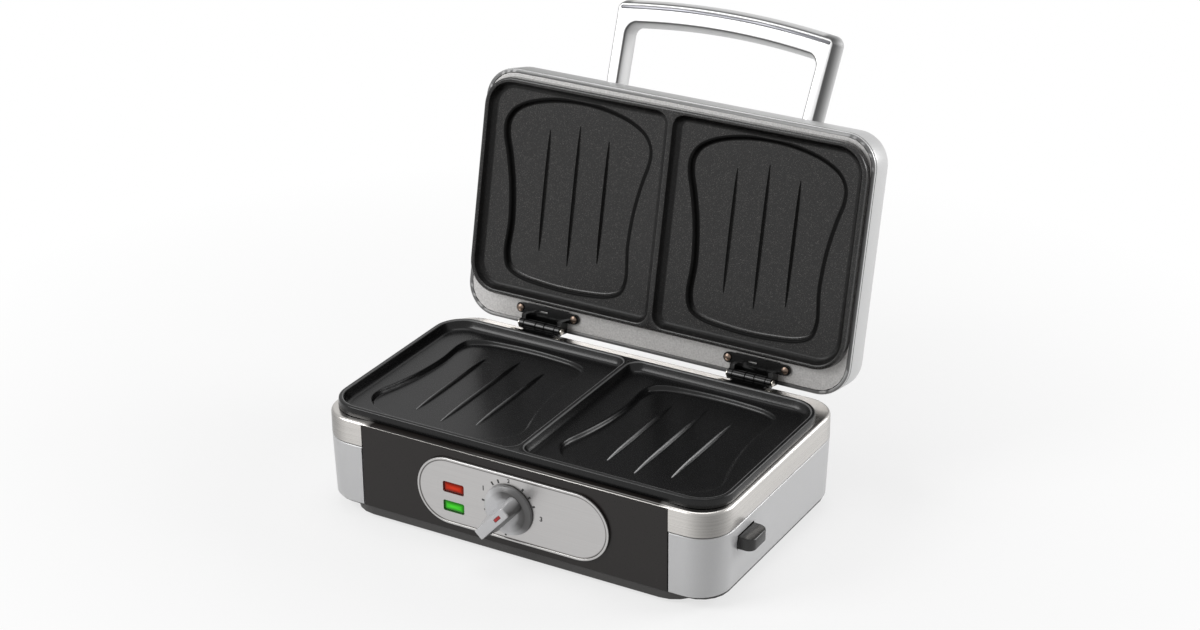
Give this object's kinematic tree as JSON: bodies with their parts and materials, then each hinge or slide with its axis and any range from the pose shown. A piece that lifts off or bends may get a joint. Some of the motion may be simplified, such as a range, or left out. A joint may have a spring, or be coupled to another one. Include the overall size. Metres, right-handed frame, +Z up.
{
  "type": "two-slice snack maker",
  "caption": "Countertop cooker for filled bread slices: dished non-stick plates in a base and in a lid that stands open on two hinges, with an arched handle, a dial and press-in plate releases",
  "frame": {"origin": "centre of the tray's flat underside, 2 mm above the table that the feet stand on", "axes": "+X right along the hinge line, -Y to the front with the dial, +Z up away from the table"},
  "size_m": [0.307, 0.3184, 0.276],
  "materials": {
    "silver_paint": "moulded, smooth satin silver coating",
    "inlay_silver": "slightly darker silver strip",
    "brushed_steel": "brushed along its length",
    "panel_steel": "brushed sideways, bright rim",
    "sheet_steel": "plain rolled sheet",
    "fascia_plastic": "dark, slightly glossy, moulded",
    "black_plastic": "moulded, fine texture",
    "button_plastic": "moulded, satin",
    "non_stick": "dark non-stick coating on a casting",
    "liner_paint": "fine textured grey",
    "zinc_black": "glossy black plating",
    "bright_steel": "bright plated",
    "element_sheath": "heat-darkened sheath",
    "knob_plastic": "satin grey",
    "black_rubber": "matt",
    "red_lens": "clear red lens, lit from behind",
    "green_lens": "clear green lens, lit from behind",
    "red_mark": "red pointer inlay",
    "lamp_glass": "small neon lamp",
    "pale_phenolic": "pale moulded insulator"
  },
  "bodies": {
    "base": {"base_tray": "black_plastic", "left_end_shell": "silver_paint", "right_end_shell": "silver_paint", "steel_band": "brushed_steel", "front_fascia": "fascia_plastic", "rear_panel": "black_plastic", "cord_gland": "black_rubber", "terminal_block": "pale_phenolic", "thermostat_bracket": "sheet_steel", "thermostat_body": "pale_phenolic", "lower_cooking_plate": "non_stick", "lower_heating_element": "element_sheath", "lower_reflector": "sheet_steel", "lower_latch_spring": "bright_steel", "foot_front_left": "black_rubber", "foot_front_right": "black_rubber", "foot_rear_left": "black_rubber", "foot_rear_right": "black_rubber", "control_plate": "panel_steel", "power_lens": "red_lens", "ready_lens": "green_lens", "power_lamp": "lamp_glass", "ready_lamp": "lamp_glass", "base_hinge_leaf_left": "zinc_black", "base_hinge_leaf_right": "zinc_black", "hinge_pin_left": "zinc_black", "hinge_pin_right": "zinc_black", "base_hinge_screw_left_outer": "bright_steel", "base_hinge_screw_left_inner": "bright_steel", "base_hinge_screw_right_outer": "bright_steel", "base_hinge_screw_right_inner": "bright_steel"},
    "knob": {"control_knob": "knob_plastic", "knob_pointer_mark": "red_mark", "knob_shaft": "bright_steel"},
    "lower_release": {"lower_release_button": "button_plastic", "lower_latch_slide": "black_plastic"},
    "lid": {"lid_cover": "silver_paint", "lid_liner": "liner_paint", "handle": "silver_paint", "handle_inlay": "inlay_silver", "handle_screw_left": "bright_steel", "handle_screw_right": "bright_steel", "upper_cooking_plate": "non_stick", "upper_heating_element": "element_sheath", "upper_reflector": "sheet_steel", "upper_latch_spring": "bright_steel", "lid_hinge_leaf_left": "zinc_black", "lid_hinge_leaf_right": "zinc_black", "lid_hinge_screw_left_outer": "bright_steel", "lid_hinge_screw_left_inner": "bright_steel", "lid_hinge_screw_right_outer": "bright_steel", "lid_hinge_screw_right_inner": "bright_steel"},
    "upper_release": {"upper_release_button": "button_plastic", "upper_latch_slide": "black_plastic"}
  },
  "joints": [
    {"name": "lid_hinge", "type": "hinge", "parent": "base", "child": "lid", "pos_m": [0, 0.0838, 0.0702], "axis": [1, 0, 0], "range_deg": [0, 102.46]},
    {"name": "knob_turn", "type": "hinge", "parent": "base", "child": "knob", "pos_m": [0, -0.08695, 0.0345], "axis": [0, 1, 0], "range_deg": [-149, 62]},
    {"name": "lower_release_press", "type": "slide", "parent": "base", "child": "lower_release", "axis": [-1, 0, 0], "range_m": [0, 0.004], "stiffness_N_per_m": 400, "deforming": ["lower_latch_spring"]},
    {"name": "upper_release_press", "type": "slide", "parent": "lid", "child": "upper_release", "axis": [1, 0, 0], "range_m": [0, 0.004], "stiffness_N_per_m": 400, "deforming": ["upper_latch_spring"]}
  ]
}
